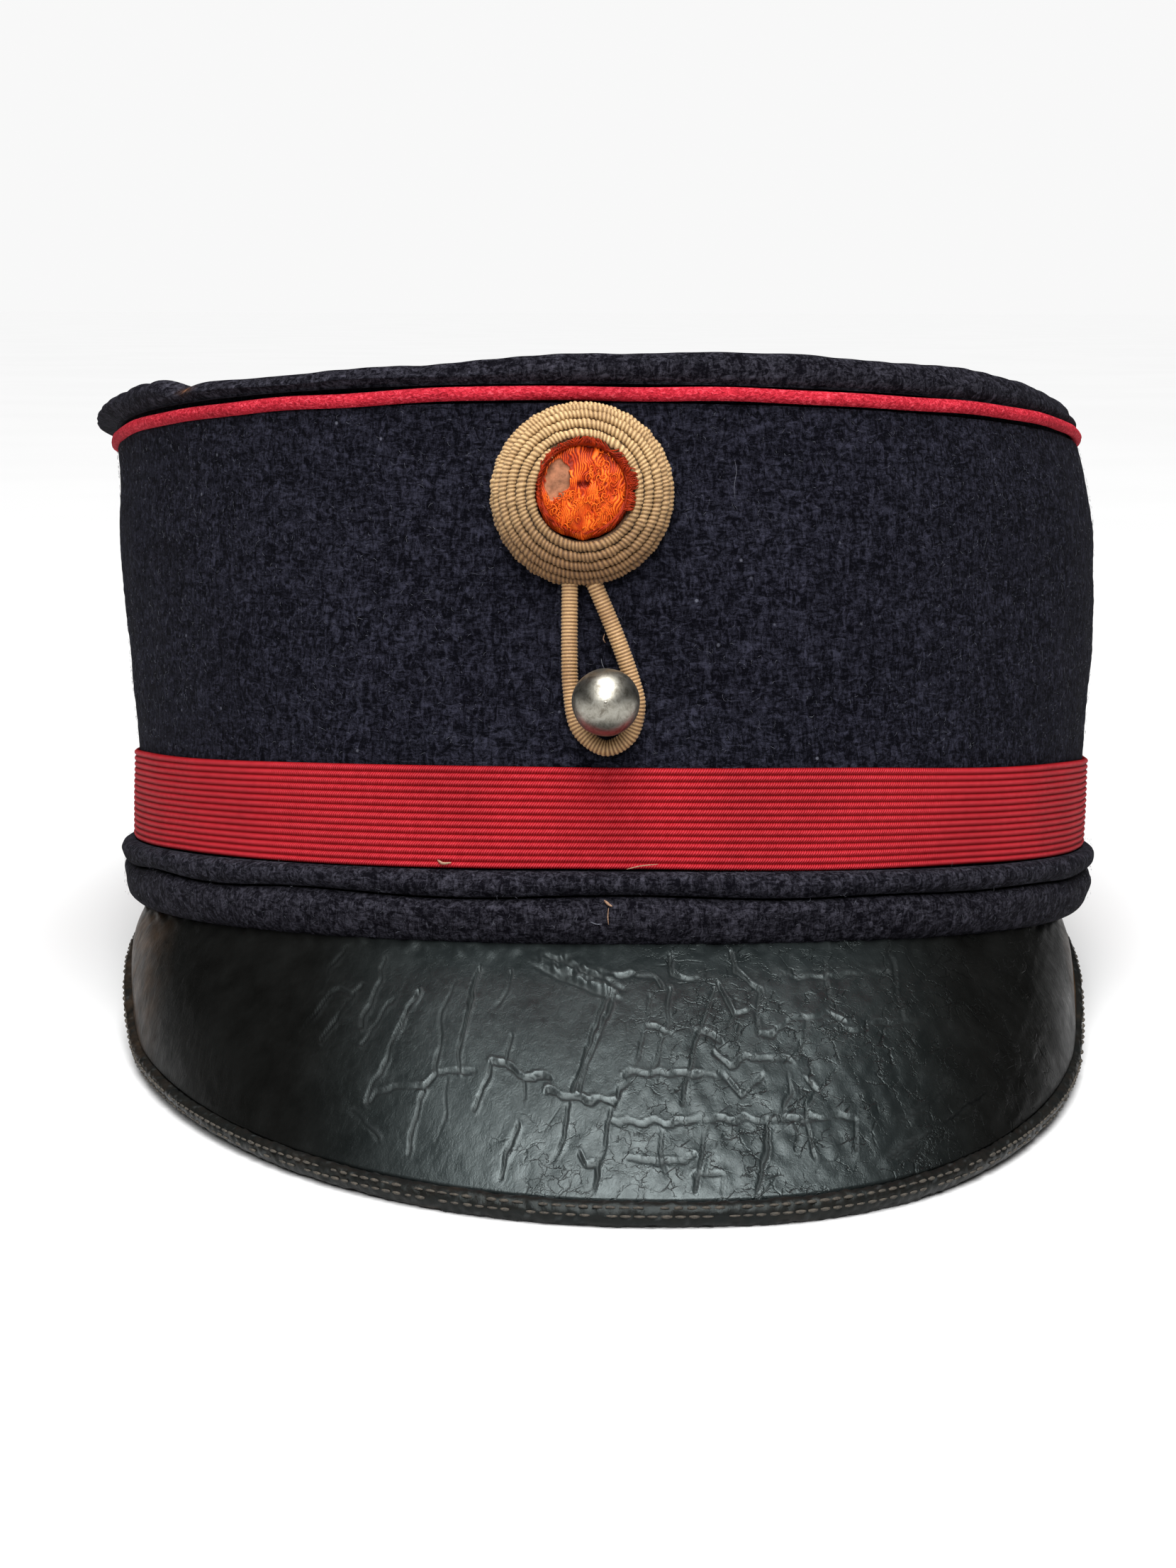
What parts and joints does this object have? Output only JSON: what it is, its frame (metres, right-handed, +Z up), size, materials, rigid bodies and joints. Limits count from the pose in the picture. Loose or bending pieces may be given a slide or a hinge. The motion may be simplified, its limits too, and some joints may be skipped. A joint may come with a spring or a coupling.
{
  "type": "kepi cap",
  "caption": "Peaked military kepi: stiff oval wool crown with sunk top, piping, ribbed band, rolled hem, stitched leather peak, gimp cockade, cord loop and ball button.",
  "frame": {"origin": "Middle of the bounding box at its base, on the surface that the cap rests on.", "axes": "+Y from the peak towards the back of the cap, +X towards the wearer's left, +Z up. The cap rests tipped back by 7.4 degrees, on its peak's edge and the back of its hem."},
  "size_m": [0.1726, 0.2558, 0.11],
  "materials": {
    "wool_cloth": "matte felted navy wool",
    "crimson_piping": "matte crimson cloth cord",
    "ribbon": "crimson ribbed ribbon with a slight sheen",
    "peak_leather": "black lacquered leather, cracked and worn",
    "gimp_cord": "wound tan gimp cord with a slight sheen",
    "orange_silk": "orange silk thread",
    "button_metal": "worn silvered metal"
  },
  "bodies": {
    "root": {"crown_wall": "wool_cloth", "crown_top": "wool_cloth", "top_piping": "crimson_piping", "ribbon_band": "ribbon", "upper_welt": "wool_cloth", "lower_hem": "wool_cloth", "peak": "peak_leather", "peak_binding": "peak_leather", "cockade_coil": "gimp_cord", "cockade_centre": "orange_silk", "button_loop": "gimp_cord", "ball_button": "button_metal"}
  },
  "joints": []
}
